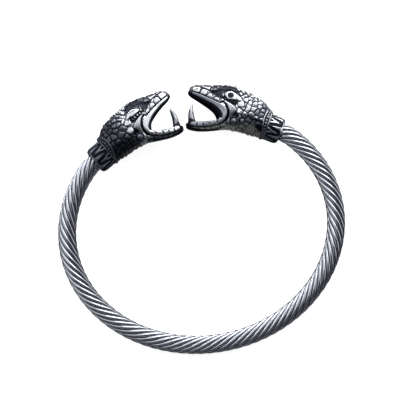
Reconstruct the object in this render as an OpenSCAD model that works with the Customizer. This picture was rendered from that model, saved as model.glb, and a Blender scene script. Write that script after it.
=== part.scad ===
// Arm ring of the viking kind: a twisted steel cable bent to an open oval, with a collar and a
// cast snake head on each end. Millimetres. The ring lies on its side, as it rests on a table:
// +Z is up, the gap between the two snouts faces +Y, and the origin is on the table, under the
// middle of the ring's outline.

/* [Cable band] */
// Half the width of the oval, from its middle to the cable's centreline
oval_half_w = 35.5; // [32:0.1:42]
// Half the depth of the oval, from its middle to the cable's centreline
oval_half_d = 30.6; // [28:0.1:36]
// Diameter of the cable over its outer wires
cable_d = 4.8; // [4.2:0.1:5.2]
// Depth of the grooves between the outer wires
groove = 0.38; // [0.2:0.02:0.5]
// Outer wires in the cable
wires = 10; // [8:1:14]
// Length of cable in which a wire goes round once
lay_length = 23.7; // [20:0.1:40]
// Slope of the collars and heads, against the oval's width
head_angle = 31; // [27:1:35]
// Gap between the tips of the two lower jaws
jaw_gap = 0.9; // [0.5:0.1:3]
// Radius of the bend between the oval and a collar
end_bend_r = 14; // [10:1:20]
// How far the cable reaches into a head, past the collar
socket_depth = 4; // [2:0.5:5]

/* [Collar] */
// Length of a collar with its rim
collar_len = 4; // [3:0.1:5]
// Radius of a collar at the cable's side
collar_small_r = 3.05; // [2.95:0.05:3.2]
// Radius of a collar next to its rim
collar_large_r = 3.5; // [3.3:0.05:3.8]
// Radius over the beads of the rim
rim_r = 4.05; // [3.9:0.05:4.3]
// Width of the beaded rim
rim_w = 0.8; // [0.6:0.05:1]
// Leaves round a collar
leaves = 8; // [6:1:10]
// Height of the leaves' ribs
leaf_rise = 0.22; // [0.1:0.02:0.3]

/* [Heads] */
// Length of a head, from its neck to its snout
head_len = 21.9; // [20:0.1:24]
// Height of the crown over the head's axis
crown_h = 6.45; // [6.2:0.05:7.2]
// Half the width of a head at its cheeks
cheek_half = 5; // [4.6:0.1:5.6]
// Height of the scales
scale_rise = 0.3; // [0.1:0.05:0.4]
// Height of the lip plates
plate_rise = 0.35; // [0.2:0.05:0.5]
// Radius of the rounded lips
lip_r = 0.55; // [0.4:0.05:0.65]
// Length of a fang
fang_len = 4.9; // [3.5:0.1:5.2]
// Radius of a fang at its root
fang_r = 0.8; // [0.5:0.05:0.9]
// Slope of a fang against the head's axis
fang_lean = 70; // [60:1:80]
// Forward bow of a fang, as a share of its length
fang_bow = 0.09; // [0:0.01:0.12]
// Radius of an eyeball
eye_r = 1.1; // [0.9:0.05:1.3]
// Radius of a pupil
pupil_r = 0.7; // [0.5:0.05:0.8]
// Radius of the ball at the jaw's hinge
hinge_r = 1.05; // [0.8:0.05:1.3]
// Radius of a nostril
nostril_r = 0.35; // [0.2:0.05:0.45]

/* [Clearances] */
// Gap between the cable and the bores that it goes through
bore_gap = 0.12; // [0.06:0.02:0.2]
// Gap between a collar and its head, and at the cable's end in its socket
joint_gap = 0.1; // [0.05:0.01:0.2]

/* [Hidden] */

steel = [0.74, 0.75, 0.77];
worn_steel = [0.55, 0.56, 0.58];
dark_steel = [0.3, 0.31, 0.33];

cable_r = cable_d / 2;
bore_r = cable_r + bore_gap;
head_start = collar_len + joint_gap;
tail = head_start + socket_depth - joint_gap;

// Fineness of the facets
oval_steps = 33;
bend_steps = 3;
tail_steps = 4;
head_points = 36;
jaw_points = 12;
rod_sides = 5;
points_per_leaf = 4;

// Small vector and table helpers
function unit(v) = v / norm(v);

// Smooth value of column c in a table whose column 0 rises, at station u
function row_at(t, u, i = 0) = i + 2 >= len(t) || u <= t[i + 1][0] ? i : row_at(t, u, i + 1);
function slope_at(t, i, c) =
    let (a = max(i - 1, 0), b = min(i + 1, len(t) - 1)) (t[b][c] - t[a][c]) / (t[b][0] - t[a][0]);
function at(t, u, c) =
    let (i = row_at(t, u), h = t[i + 1][0] - t[i][0], k = min(max((u - t[i][0]) / h, 0), 1))
    (2 * k ^ 3 - 3 * k ^ 2 + 1) * t[i][c] + (k ^ 3 - 2 * k ^ 2 + k) * h * slope_at(t, i, c)
    + (3 * k ^ 2 - 2 * k ^ 3) * t[i + 1][c] + (k ^ 3 - k ^ 2) * h * slope_at(t, i + 1, c);

// A closed solid through rings of points, each ring with as many points, capped by fans. Its
// four-sided cells are cut from corner 0 to 2, from 1 to 3, or by turns, which leaves every
// second point standing as a stud.
FORWARD = 0;
BACKWARD = 1;
STUDS = 2;
module skin(rings, cut = FORWARD) {
    n = len(rings);
    m = len(rings[0]);
    ones = [for (j = [1:m]) 1];
    middle = [for (r = [rings[0], rings[n - 1]]) ones * r / m];
    points = concat([for (r = rings) each r], middle);
    walls = [for (i = [0:n - 2]) for (j = [0:m - 1])
        let (
            a = i * m + j,
            b = i * m + (j + 1) % m,
            c = (i + 1) * m + (j + 1) % m,
            d = (i + 1) * m + j
        )
        each cut == BACKWARD || (cut == STUDS && (i + j) % 2 == 0)
            ? [[a, b, d], [b, c, d]]
            : [[a, b, c], [a, c, d]]];
    first_cap = [for (j = [0:m - 1]) [(j + 1) % m, j, n * m]];
    last_cap = [for (j = [0:m - 1]) [(n - 1) * m + j, (n - 1) * m + (j + 1) % m, n * m + 1]];
    polyhedron(points, concat(walls, first_cap, last_cap), convexity = 10);
}

// Rings of a round rod along a route, where row i of the route is x, y, z and radius
function rod_rings(route, sides) = [for (i = [0:len(route) - 1])
    let (
        a = route[max(i - 1, 0)],
        b = route[min(i + 1, len(route) - 1)],
        along = unit([b.x - a.x, b.y - a.y, b.z - a.z]),
        up = unit([0, 0, 1] - along.z * along),
        across = cross(along, up),
        p = route[i]
    )
    [for (j = [0:sides - 1])
        let (turn = 360 * j / sides)
        [p.x, p.y, p.z] + p[3] * (cos(turn) * across + sin(turn) * up)]];

module rod(route, sides = rod_sides) {
    skin(rod_rings(route, sides));
}

module both_sides() {
    children();
    mirror([0, 0, 1]) children();
}

function reverse_rings(rings) = [for (r = rings) [for (j = [len(r) - 1:-1:0]) r[j]]];

// Head shape. Stations and places are shares: u along head_len from the neck, v of crown_h
// from the head's axis, w of cheek_half from its middle plane.
function hx(u) = head_start + u * head_len;
function hy(v) = v * crown_h;
function hz(w) = w * cheek_half;

// Skull and upper jaw: u, top v, belly v, widest v, half width w, squareness, scales on the
// flanks, scales on the crown
SKULL = [
    [0.00, 0.56, -0.56, 0.00, 0.74, 2.0, 0.0, 0.0],
    [0.05, 0.66, -0.59, 0.02, 0.79, 2.0, 0.8, 0.8],
    [0.12, 0.82, -0.62, 0.04, 0.85, 2.1, 1.0, 1.0],
    [0.22, 0.94, -0.65, 0.04, 0.93, 2.2, 1.0, 1.0],
    [0.32, 0.99, -0.69, 0.02, 0.98, 2.3, 1.0, 1.0],
    [0.42, 1.00, -0.72, 0.00, 1.00, 2.4, 0.3, 1.0],
    [0.49, 1.00, -0.66, 0.00, 0.99, 2.4, 0.0, 1.0],
    [0.55, 0.98, -0.44, 0.00, 0.95, 2.4, 0.0, 1.0],
    [0.62, 0.93, -0.22, 0.04, 0.88, 2.3, 0.0, 0.8],
    [0.70, 0.84, -0.08, 0.10, 0.78, 2.3, 0.0, 0.3],
    [0.80, 0.71, 0.00, 0.13, 0.70, 2.3, 0.0, 0.0],
    [0.90, 0.59, 0.03, 0.15, 0.61, 2.3, 0.0, 0.0],
    [0.96, 0.49, 0.06, 0.17, 0.50, 2.2, 0.0, 0.0],
    [1.00, 0.36, 0.12, 0.18, 0.34, 2.0, 0.0, 0.0],
];

// Lower jaw: u, top v, belly v, widest v, half width w, squareness
JAW = [
    [0.28, -0.22, -0.62, -0.42, 0.76, 2.2],
    [0.36, -0.26, -0.71, -0.46, 0.92, 2.2],
    [0.43, -0.32, -0.80, -0.52, 0.97, 2.3],
    [0.50, -0.47, -0.93, -0.68, 0.95, 2.3],
    [0.58, -0.67, -1.07, -0.86, 0.88, 2.3],
    [0.66, -0.81, -1.20, -1.00, 0.78, 2.3],
    [0.74, -0.93, -1.30, -1.11, 0.68, 2.2],
    [0.82, -1.04, -1.35, -1.19, 0.53, 2.1],
    [0.86, -1.10, -1.33, -1.21, 0.38, 2.0],
    [0.875, -1.16, -1.28, -1.22, 0.20, 2.0],
];

// A point of a section at station u, at a turn round it, out from its surface by rise
function section_point(table, u, turn, rise = 0) =
    let (
        level = at(table, u, 3),
        tall = sin(turn) >= 0 ? at(table, u, 1) - level : level - at(table, u, 2),
        e = 2 / at(table, u, 5),
        y = hy(level + tall * sign(sin(turn)) * abs(sin(turn)) ^ e),
        z = hz(at(table, u, 4)) * sign(cos(turn)) * abs(cos(turn)) ^ e
    )
    [hx(u), y + rise * sin(turn), z + rise * cos(turn)];

// The flank's point at profile place u, v, out from the surface by rise
function flank(table, u, v, rise = 0) =
    let (
        level = at(table, u, 3),
        tall = v >= level ? at(table, u, 1) - level : level - at(table, u, 2),
        n = at(table, u, 5),
        share = min(abs(v - level) / tall, 0.97)
    )
    [hx(u), hy(v), hz(at(table, u, 4)) * (1 - share ^ n) ^ (1 / n) + rise];

// Stations of the skull: a ring for every half scale to the eye, and fewer on the smooth snout
scale_step = 0.038;
scale_rings = 17;
snout_stations = [0.70, 0.78, 0.86, 0.93, 0.975, 1];
skull_stations = concat([for (i = [0:scale_rings]) i * scale_step], snout_stations);
skull_rings = [for (i = [0:len(skull_stations) - 1])
    let (u = skull_stations[i])
    [for (j = [0:head_points - 1])
        let (
            turn = 360 * j / head_points,
            crown = max(sin(turn), 0),
            scales = at(SKULL, u, 6) * (1 - crown) + at(SKULL, u, 7) * crown,
            rise = scales * scale_rise * ((i + j) % 2 == 0 ? -0.5 : 0.5)
        )
        section_point(SKULL, u, turn, rise)]];

module skull() {
    skin(skull_rings, STUDS);
}

module lower_jaw() {
    skin([for (row = JAW) [for (j = [0:jaw_points - 1])
        section_point(JAW, row[0], 360 * j / jaw_points)]]);
}

// Hollow of the mouth, between palate and mouth floor: u, top v, bottom v, half width w
MOUTH = [
    [0.48, -0.46, -0.52, 0.50],
    [0.58, -0.16, -0.76, 0.62],
    [0.68, 0.03, -0.95, 0.56],
    [0.78, 0.13, -1.10, 0.46],
    [0.84, 0.16, -1.18, 0.30],
    [0.92, 0.17, -1.18, 0.24],
    [0.96, 0.15, -1.10, 0.16],
];

module mouth() {
    skin([for (m = MOUTH)
        let (x = hx(m[0]), top = hy(m[1]), low = hy(m[2]), side = hz(m[3]), shoulder = 0.6)
        [
            [x, (top + low) / 2, side],
            [x, top * 0.7 + low * 0.3, side],
            [x, top, side * shoulder],
            [x, top, -side * shoulder],
            [x, top * 0.7 + low * 0.3, -side],
            [x, (top + low) / 2, -side],
            [x, low * 0.8 + top * 0.2, -side],
            [x, low, -side * shoulder],
            [x, low, side * shoulder],
            [x, low * 0.8 + top * 0.2, side],
        ]]);
}

// Rounded lip, from the snout round the corner of the mouth to the tip of the lower jaw:
// u, v, w and radius as a share of lip_r
LIP = [
    [0.98, 0.12, 0.28, 0.8],
    [0.94, 0.10, 0.50, 0.9],
    [0.85, 0.08, 0.64, 0.9],
    [0.76, 0.03, 0.71, 0.95],
    [0.665, -0.06, 0.80, 1.0],
    [0.595, -0.18, 0.88, 1.1],
    [0.54, -0.34, 0.93, 1.15],
    [0.515, -0.49, 0.95, 1.15],
    [0.53, -0.64, 0.93, 1.1],
    [0.575, -0.76, 0.87, 1.0],
    [0.66, -0.90, 0.77, 0.95],
    [0.755, -1.03, 0.64, 0.9],
    [0.83, -1.13, 0.45, 0.8],
    [0.865, -1.18, 0.20, 0.7],
];

// Band that frames the hollow of the cheek: u, v, w and radius in shares of lip_r
CHEEK_BAND = [
    [0.555, 0.10, 0.92, 0.4],
    [0.50, 0.04, 0.97, 0.9],
    [0.455, -0.03, 1.00, 1.1],
    [0.435, -0.18, 0.99, 1.0],
    [0.44, -0.34, 0.96, 0.9],
    [0.445, -0.48, 0.95, 0.8],
    [0.445, -0.60, 0.93, 0.5],
];
WIDEST_ROW = 2;

// Brow over the eye: u, v, w and radius in shares of lip_r
BROW = [
    [0.40, 0.67, 0.77, 0.7],
    [0.48, 0.74, 0.71, 0.9],
    [0.56, 0.74, 0.66, 1.0],
    [0.64, 0.65, 0.64, 1.0],
    [0.71, 0.52, 0.65, 0.8],
    [0.76, 0.41, 0.66, 0.6],
];

function on_head(table) = [for (t = table) [hx(t[0]), hy(t[1]), hz(t[2]), t[3] * lip_r]];

// A raised plate on a flank: its corners in profile as shares, seated under the surface and
// drawn in towards its middle at the top
module plate(table, corners, rise = plate_rise) {
    sunk = rise;
    drawn_in = 0.8;
    mid = [for (c = corners) 1] * corners / len(corners);
    skin(reverse_rings([
        [for (c = corners) flank(table, c[0], c[1], -sunk)],
        [for (c = corners)
            let (q = mid + drawn_in * (c - mid))
            flank(table, q[0], q[1], rise)],
    ]));
}

// Lip plates: front u, rear u, low v, high v
UPPER_PLATES = [
    [0.98, 0.925, 0.17, 0.34],
    [0.90, 0.835, 0.15, 0.34],
    [0.81, 0.745, 0.11, 0.30],
    [0.72, 0.66, 0.04, 0.21],
];
LOWER_PLATES = [
    [0.64, 0.57, 0.16, 0.28],
    [0.715, 0.65, 0.16, 0.28],
    [0.785, 0.725, 0.15, 0.26],
];

module upper_plate(p) {
    plate(SKULL, [[p[0], p[2]], [p[0], p[3]], [p[1], p[3]], [p[1], p[2]]]);
}

// A lower plate hangs below the jaw's top by its low and high shares
module lower_plate(p) {
    plate(JAW, [
        [p[0], at(JAW, p[0], 1) - p[3]],
        [p[0], at(JAW, p[0], 1) - p[2]],
        [p[1], at(JAW, p[1], 1) - p[2]],
        [p[1], at(JAW, p[1], 1) - p[3]],
    ]);
}

// Swells of an eye: forward, up and out from its middle and radius, in shares of eye_r
EYE = [
    [0.0, 0.0, 0.0, 1.0],
    [1.2, -0.1, -0.2, 0.65],
    [-1.45, -0.2, -0.1, 0.45],
];
eye_lean = [-14, 0, 0];

module eye() {
    difference() {
        translate(flank(SKULL, 0.495, 0.44)) rotate(eye_lean) hull() {
            for (e = EYE) translate(eye_r * [e.x, e.y, e.z]) sphere(r = eye_r * e[3], $fn = 7);
        }
        translate(flank(SKULL, 0.545, 0.46)) rotate(eye_lean)
            cylinder(r = pupil_r, h = 4 * eye_r, $fn = 8);
    }
}

// Raised drop-shaped cheek scales behind the eye: u, v and radius as a share of crown_h
CHEEK_SCALES = [
    [0.39, 0.22, 0.105],
    [0.33, 0.40, 0.09],
    [0.385, 0.56, 0.08],
];

module cheek_scale(c) {
    r = hy(c[2]);
    translate(flank(SKULL, c[0], c[1], -r / 6)) scale([1, 1, 0.6]) hull() {
        sphere(r = r, $fn = 6);
        translate([-r, r / 2, 0]) sphere(r = r / 2, $fn = 5);
    }
}

// Ball at the hinge, drawn out along the jaw
module jaw_hinge() {
    translate(flank(JAW, 0.375, -0.54, -hinge_r / 2)) hull() {
        sphere(r = hinge_r, $fn = 8);
        translate([-hinge_r / 2, 0, 0]) sphere(r = hinge_r * 0.7, $fn = 6);
    }
}

// Fang from the tip of the lower jaw, bowed forwards at its middle
module fang() {
    root = [hx(0.815), hy(-1.05), hz(0.34)];
    rod([for (k = [0, 0.3, 0.6, 0.85, 1])
        [
            root.x + fang_len * (k * cos(fang_lean) + fang_bow * sin(180 * k)),
            root.y + fang_len * k * sin(fang_lean),
            root.z,
            fang_r * (1 - 0.85 * k)
        ]]);
}

module nostril() {
    translate(flank(SKULL, 0.87, 0.46, 0)) sphere(r = nostril_r, $fn = 6);
}

module head() {
    difference() {
        union() {
            difference() {
                union() {
                    skull();
                    lower_jaw();
                    both_sides() {
                        rod(on_head(LIP));
                        rod(on_head(CHEEK_BAND));
                        rod(on_head(BROW));
                    }
                }
                mouth();
            }
            both_sides() {
                for (p = UPPER_PLATES) upper_plate(p);
                for (p = LOWER_PLATES) lower_plate(p);
                for (c = CHEEK_SCALES) cheek_scale(c);
                eye();
                jaw_hinge();
                fang();
            }
        }
        both_sides() nostril();
        translate([collar_len, 0, 0]) rotate([0, 90, 0])
            cylinder(r = bore_r / cos(180 / 24), h = joint_gap + socket_depth, $fn = 24);
    }
}

// Cable centreline in the ring's plane. The lower jaws stand jaw_gap apart, which places the
// collars, and the cable leaves the oval where its bend ends at a collar.
jaw_end = concat([on_head(LIP)[len(LIP) - 1]], [for (r = JAW) [hx(r[0]), hy(r[2]), 0, 0]]);
jaw_reach = max([for (p = jaw_end) p.x * cos(head_angle) - p.y * sin(head_angle) + p[3]]);
root_x = jaw_gap / 2 + jaw_reach;
function oval_slope(turn) = atan2(oval_half_d * cos(turn), oval_half_w * sin(turn));
function bend_end_x(turn) =
    oval_half_w * cos(turn) + end_bend_r * (sin(head_angle) - sin(oval_slope(turn)));
function turn_between(low, high, tries = 30) =
    let (middle = (low + high) / 2)
    tries == 0 ? middle
        : bend_end_x(middle) > root_x ? turn_between(middle, high, tries - 1)
        : turn_between(low, middle, tries - 1);
leave_turn = turn_between(0, 90);
leave_slope = oval_slope(leave_turn);
leave_point = [oval_half_w * cos(leave_turn), oval_half_d * sin(leave_turn)];
function bend_point(slope) = leave_point + end_bend_r
    * [sin(slope) - sin(leave_slope), cos(slope) - cos(leave_slope)];
head_root = bend_point(head_angle);
head_way = [-cos(head_angle), sin(head_angle)];

half_route = concat(
    [for (i = [0:oval_steps])
        let (turn = -90 + (leave_turn + 90) * i / oval_steps)
        [oval_half_w * cos(turn), oval_half_d * sin(turn)]],
    [for (i = [1:bend_steps]) bend_point(leave_slope + (head_angle - leave_slope) * i / bend_steps)],
    [for (i = [1:tail_steps]) head_root + head_way * tail * i / tail_steps]
);
route = concat(
    [for (i = [len(half_route) - 1:-1:1]) [-half_route[i].x, half_route[i].y]],
    half_route
);
reach = [for (i = 0, s = 0; i < len(route); i = i + 1,
    s = i < len(route) ? s + norm(route[i] - route[i - 1]) : s) s];

// One ring of the cable: two points to a wire, the first in the groove beside it
wire_profile = [[0, -groove], [0.5, 0]];
cable_rings = [for (i = [0:len(route) - 1])
    let (
        a = route[max(i - 1, 0)],
        b = route[min(i + 1, len(route) - 1)],
        along = unit(b - a),
        outward = [along.y, -along.x]
    )
    [for (w = [0:wires - 1]) for (q = wire_profile)
        let (
            turn = 360 * ((w + q[0]) / wires + reach[i] / lay_length),
            r = cable_r + q[1],
            side = route[i] + r * cos(turn) * outward
        )
        [side.x, side.y, r * sin(turn)]]];

module cable_band() {
    color(steel) at_rest() skin(cable_rings, BACKWARD);
}

// Two tiers of leaves on a collar: share of the cone's length, height of a leaf's rib as a
// share of leaf_rise, and 1 where the tier is turned by half a leaf
LEAF_TIERS = [
    [0.00, 0.2, 0],
    [0.22, 1.0, 0],
    [0.52, 0.5, 0],
    [0.60, 0.9, 1],
    [0.82, 1.0, 1],
    [1.00, 0.3, 1],
];
leaf_section = [-0.6, 0.2, 1, 0.2];

// Beads of the rim, in shares of the rim's width: place across it and drop under the beads' tops
BEAD_ROWS = [
    [0.0, 0.3],
    [0.5, 0.0],
    [1.0, 0.3],
];
bead_gap = 0.2;

// Collar in the head's frame: x runs from the cable's side to the head
module collar() {
    around = leaves * points_per_leaf;
    cone_len = collar_len - rim_w;
    cone = [for (t = LEAF_TIERS) [for (j = [0:around - 1])
        let (
            turn = 360 * j / around,
            across = leaf_section[(j + t[2] * points_per_leaf / 2) % points_per_leaf],
            r = collar_small_r + (collar_large_r - collar_small_r) * t[0] + leaf_rise * t[1] * across
        )
        [t[0] * cone_len, r * sin(turn), r * cos(turn)]]];
    rim = [for (t = BEAD_ROWS) [for (j = [0:around - 1])
        let (
            turn = 360 * j / around,
            r = rim_r - rim_w * (t[1] + (j % 2 == 0 ? bead_gap : 0))
        )
        [cone_len + t[0] * rim_w, r * sin(turn), r * cos(turn)]]];
    difference() {
        skin(concat(cone, rim));
        rotate([0, 90, 0]) cylinder(r = bore_r, h = 3 * collar_len, center = true, $fn = 48);
    }
}

// The ring lies with its cheek bands and the far side of the cable on the table
cheek_rods = concat(on_head(LIP), on_head(CHEEK_BAND));
contact = on_head(CHEEK_BAND)[WIDEST_ROW];
contact_reach = contact.z + contact[3];
contact_span = head_root.y + contact.x * sin(head_angle) + contact.y * cos(head_angle)
    + oval_half_d;
rest_tilt = atan2(contact_reach, contact_span)
    - asin(cable_r / norm([contact_span, contact_reach]));

module on_end(side) {
    mirror([side > 0 ? 0 : 1, 0, 0]) translate([-head_root.x, head_root.y, 0])
        rotate([0, 0, head_angle]) children();
}

// A point of the left head in the ring's plane
function ring_point(p) = [
    -head_root.x + p.x * cos(head_angle) - p.y * sin(head_angle),
    head_root.y + p.x * sin(head_angle) + p.y * cos(head_angle),
    p.z
];
function tipped(p) = [
    p.x,
    p.y * cos(rest_tilt) - p.z * sin(rest_tilt),
    p.y * sin(rest_tilt) + p.z * cos(rest_tilt)
];
head_points_outside = concat(
    [for (r = skull_rings) each r],
    [for (p = cheek_rods) [p.x, p.y, -p.z - p[3]]]
);
outer_points = concat(
    [for (r = cable_rings) for (p = r) tipped(p)],
    [for (p = head_points_outside) tipped(ring_point(p))]
);
table_z = min([for (p = outer_points) p.z]);
middle_y = (min([for (p = outer_points) p.y]) + max([for (p = outer_points) p.y])) / 2;

module at_rest() {
    translate([0, -middle_y, -table_z]) rotate([rest_tilt, 0, 0]) children();
}

module collar_left() {
    color(worn_steel) at_rest() on_end(1) collar();
}

module collar_right() {
    color(worn_steel) at_rest() on_end(-1) collar();
}

module head_left() {
    color(dark_steel) at_rest() on_end(1) head();
}

module head_right() {
    color(dark_steel) at_rest() on_end(-1) head();
}

cable_band();
collar_left();
collar_right();
head_left();
head_right();
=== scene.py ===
"""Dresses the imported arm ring: twisted steel wires, leaf-ribbed collars and cast snake heads.

Shapes are worked out in millimetres. A head and its collar share one frame: x runs from the
cable's side of the collar to the snout, y up to the crown, z out of the right or left flank.
"""

import math
from itertools import product

import bpy
import numpy as np
from mathutils import Matrix, Vector


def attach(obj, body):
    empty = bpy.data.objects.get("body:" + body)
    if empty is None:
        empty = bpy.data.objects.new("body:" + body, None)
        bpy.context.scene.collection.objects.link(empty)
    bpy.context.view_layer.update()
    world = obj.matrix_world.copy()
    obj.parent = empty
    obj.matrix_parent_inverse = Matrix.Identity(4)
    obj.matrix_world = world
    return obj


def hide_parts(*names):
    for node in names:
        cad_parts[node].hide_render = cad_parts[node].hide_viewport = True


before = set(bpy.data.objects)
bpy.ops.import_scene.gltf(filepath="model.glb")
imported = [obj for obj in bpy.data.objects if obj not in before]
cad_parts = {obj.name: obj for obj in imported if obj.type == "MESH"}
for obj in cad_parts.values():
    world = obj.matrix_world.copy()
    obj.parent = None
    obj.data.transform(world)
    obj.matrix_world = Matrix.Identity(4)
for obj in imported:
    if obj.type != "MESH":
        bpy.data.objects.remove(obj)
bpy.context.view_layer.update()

MM = 0.001

# The ring's layout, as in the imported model, with turns in degrees
OVAL_W, OVAL_D = 35.5, 30.6
LEAVE_TURN, LEAVE_SLOPE = 38.7879, 47.0046
HEAD_ANGLE = 31.0
BEND_R = 14.0
TAIL = 8.0
HEAD_ROOT = (24.642, 21.6222)
REST_TILT = math.radians(3.09029)
MIDDLE_Y, TABLE_Z = 2.14432, -4.04964

# The cable
CABLE_R = 2.4
WIRES = 10
LAY_LENGTH = 23.7
WIRE_R = 0.52
WIRE_SIDES = 12
WIRE_STEP = 0.55
CORE_R = 1.5
CORE_SIDES = 24
# Points on half of its oval, its bend and its straight end, before they are evened out
OVAL_POINTS, BEND_POINTS, END_POINTS = 400, 40, 20

# The collar: a cone of leaves with hems, wedges and veins, a rim with lobes and beads, a bore
COLLAR_START, CONE_END = -0.7, 3.4
CONE_R, CONE_FLARE, START_ROUND = 3.5, 0.1, 0.15
LEAVES = 8
LEAF_DEPTH, LEAF_RISE, LEAF_EDGE = 0.3, 0.42, 0.2
HEM_DROP, HEM_REACH, HEM_W, HEM_BOW = 0.5, 1.2, 0.3, 0.5
WEDGE_W, WEDGE_TIP, WEDGE_LEN, WEDGE_BOW = 0.52, 0.02, 3.3, 0.9
VEIN_START, VEIN_TIP, VEIN_SWELL, VEIN_THIN, FORK_W = 0.85, 0.05, 0.24, 0.08, 0.56
RIM_W, LOBE, LOBE_TURN, LOBE_SPREAD = 0.72, 1.1, math.radians(18), math.radians(75)
RIM_R, RIM_FLARE, RIM_RISE, RIM_SHINE = 3.62, 0.3, 0.26, 0.85
RIM_BEADS = 30
BEAD_R, BEAD_RING_R = 0.28, 4
BORE_R, BORE_SHINE = 2.52, 0.2
COLLAR_SIDES, CONE_ROWS, RIM_ROWS, BORE_ROWS = 352, 64, 30, 5

# The head
HEAD_START = 4.1
HEAD_LEN = 21.9
CROWN = 6.45
CHEEK = 5.0
LIP_R = 0.55
SOCKET_END = 8.1
# The block of cells that a head is carved from
CELL = 0.14
BLOCK_LOW = (3.4, -9.7)
BLOCK_HIGH = (26.9, 7.5, 6.6)

LEFT, RIGHT = 1, -1
# How much further the right collar and head reach along their axis
FORWARD = {LEFT: 0.0, RIGHT: 0.75}


# ---------------- placing

def laid_down(points):
    """Points of the ring's plane in millimetres, laid on the table, in metres."""
    x, y, z = np.asarray(points, float).T
    c, s = math.cos(REST_TILT), math.sin(REST_TILT)
    return np.stack([x, y * c - z * s - MIDDLE_Y, y * s + z * c - TABLE_Z], -1) * MM


def on_end(points, side):
    """Points of a head's frame, moved to the left or right end in the ring's plane."""
    x, y, z = np.asarray(points, float).T
    c, s = math.cos(math.radians(HEAD_ANGLE)), math.sin(math.radians(HEAD_ANGLE))
    return np.stack([side * (-HEAD_ROOT[0] + x * c - y * s), HEAD_ROOT[1] + x * s + y * c, z], -1)


def make_piece(name, points, faces, material, marks=None):
    """A smooth mesh with numbers kept at its points, such as how polished each is and where light or
    shade is painted.
    """
    mesh = bpy.data.meshes.new(name)
    mesh.from_pydata(points.tolist(), [], faces)
    mesh.materials.append(material)
    for key, values in (marks or {}).items():
        mark = mesh.attributes.new(key, "FLOAT", "POINT")
        mark.data.foreach_set("value", np.asarray(values, np.float32))
    mesh.shade_smooth()
    mesh.validate()
    piece = bpy.data.objects.new(name, mesh)
    bpy.context.scene.collection.objects.link(piece)
    return piece


def eased(share):
    """A share that is held between 0 and 1 and leaves both ends softly."""
    share = np.clip(share, 0, 1)
    return share * share * (3 - 2 * share)


def past(x, start, width):
    """From 0 at the start to 1 a width later, or earlier where the width is negative."""
    return eased((x - start) / width)


def within(distance, edge):
    """How much of a place is inside an outline with a soft edge of that width."""
    return eased(0.5 - distance / edge)


def dome(squared):
    """Height of a dome of height 1, from the squared share of the way to its edge."""
    return np.sqrt(np.clip(1 - squared, 0, 1))


def ring_quads(rings, sides, closed=False):
    """Quads between rings of points, and from the last ring to the first if closed."""
    i, j = np.meshgrid(np.arange(rings if closed else rings - 1), np.arange(sides), indexing="ij")
    after, beyond = (i + 1) % rings, (j + 1) % sides
    corners = (i * sides + j, i * sides + beyond, after * sides + beyond, after * sides + j)
    return np.stack(corners, -1).reshape(-1, 4)


def tube_faces(rings, sides):
    """Quads of a tube of rings, and its two end caps."""
    last = (rings - 1) * sides
    caps = [list(range(sides))[::-1], list(range(last, last + sides))]
    return ring_quads(rings, sides).tolist() + caps


# ---------------- shader tools

class Value:
    """A socket of a finish, on which arithmetic adds Math nodes."""

    def __init__(self, finish, socket):
        self.finish, self.socket = finish, socket

    def _math(self, operation, first, second):
        return self.finish.node("ShaderNodeMath", {"operation": operation}, {0: first, 1: second})

    def __add__(self, other):
        return self._math("ADD", self, other)

    def __sub__(self, other):
        return self._math("SUBTRACT", self, other)

    def __rsub__(self, other):
        return self._math("SUBTRACT", other, self)

    def __mul__(self, other):
        return self._math("MULTIPLY", self, other)

    __radd__ = __add__
    __rmul__ = __mul__


class Finish:
    """A material made of nodes round one Principled shader."""

    def __init__(self, name):
        self.material = bpy.data.materials.new(name)
        self.material.use_nodes = True
        self.tree = self.material.node_tree
        self.tree.nodes.clear()
        self.shader = self.tree.nodes.new("ShaderNodeBsdfPrincipled")
        out = self.tree.nodes.new("ShaderNodeOutputMaterial")
        self.tree.links.new(self.shader.outputs[0], out.inputs[0])

    def node(self, kind, settings, sockets, output=0):
        """Adds any node, with its settings first and then its sockets' values or links."""
        made = self.tree.nodes.new(kind)
        for key, value in settings.items():
            setattr(made, key, value)
        for key, value in sockets.items():
            self._feed(made.inputs[key], value)
        return Value(self, made.outputs[output])

    def _feed(self, socket, value):
        if isinstance(value, Value):
            self.tree.links.new(value.socket, socket)
        else:
            socket.default_value = value

    def surface(self, **sockets):
        for key, value in sockets.items():
            self._feed(self.shader.inputs[key.replace("_", " ")], value)

    def mark(self, name):
        return self.node("ShaderNodeAttribute", {"attribute_name": name}, {}, "Fac")

    def noise(self, size, detail=3, rough=0.5):
        """Noise with features of about so many millimetres."""
        place = self.node("ShaderNodeTexCoord", {}, {}, "Object")
        scaled = self.node("ShaderNodeVectorMath", {"operation": "MULTIPLY"},
                           {0: place, 1: (1 / (size * MM),) * 3})
        return self.node("ShaderNodeTexNoise", {},
                         {"Vector": scaled, "Scale": 1.0, "Detail": detail, "Roughness": rough})

    def blend(self, share, colour_a, colour_b):
        return self.node("ShaderNodeMix", {"data_type": "RGBA", "clamp_factor": True},
                         {"Factor": share, 6: colour_a, 7: colour_b}, 2)

    def ramp(self, value, low, high, start=0.0, end=1.0):
        return self.node("ShaderNodeMapRange", {"interpolation_type": "SMOOTHSTEP"},
                         {"Value": value, "From Min": low, "From Max": high,
                          "To Min": start, "To Max": end})

    def bump(self, height, depth, strength):
        """Bump with heights from 0 to 1 over so many millimetres."""
        return self.node("ShaderNodeBump", {},
                         {"Height": height, "Distance": depth * MM, "Strength": strength})


STEEL = (0.76, 0.79, 0.88, 1)
BRIGHT_STEEL = (0.93, 0.95, 1.0, 1)
FLOOR_SHEEN_GREY = (0.25, 0.235, 0.22, 1)
GREY_STEEL = (0.27, 0.30, 0.36, 1)
GROOVE_SHADE = (0.018, 0.02, 0.025, 1)
PATINA = (0.008, 0.010, 0.020, 1)


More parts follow.
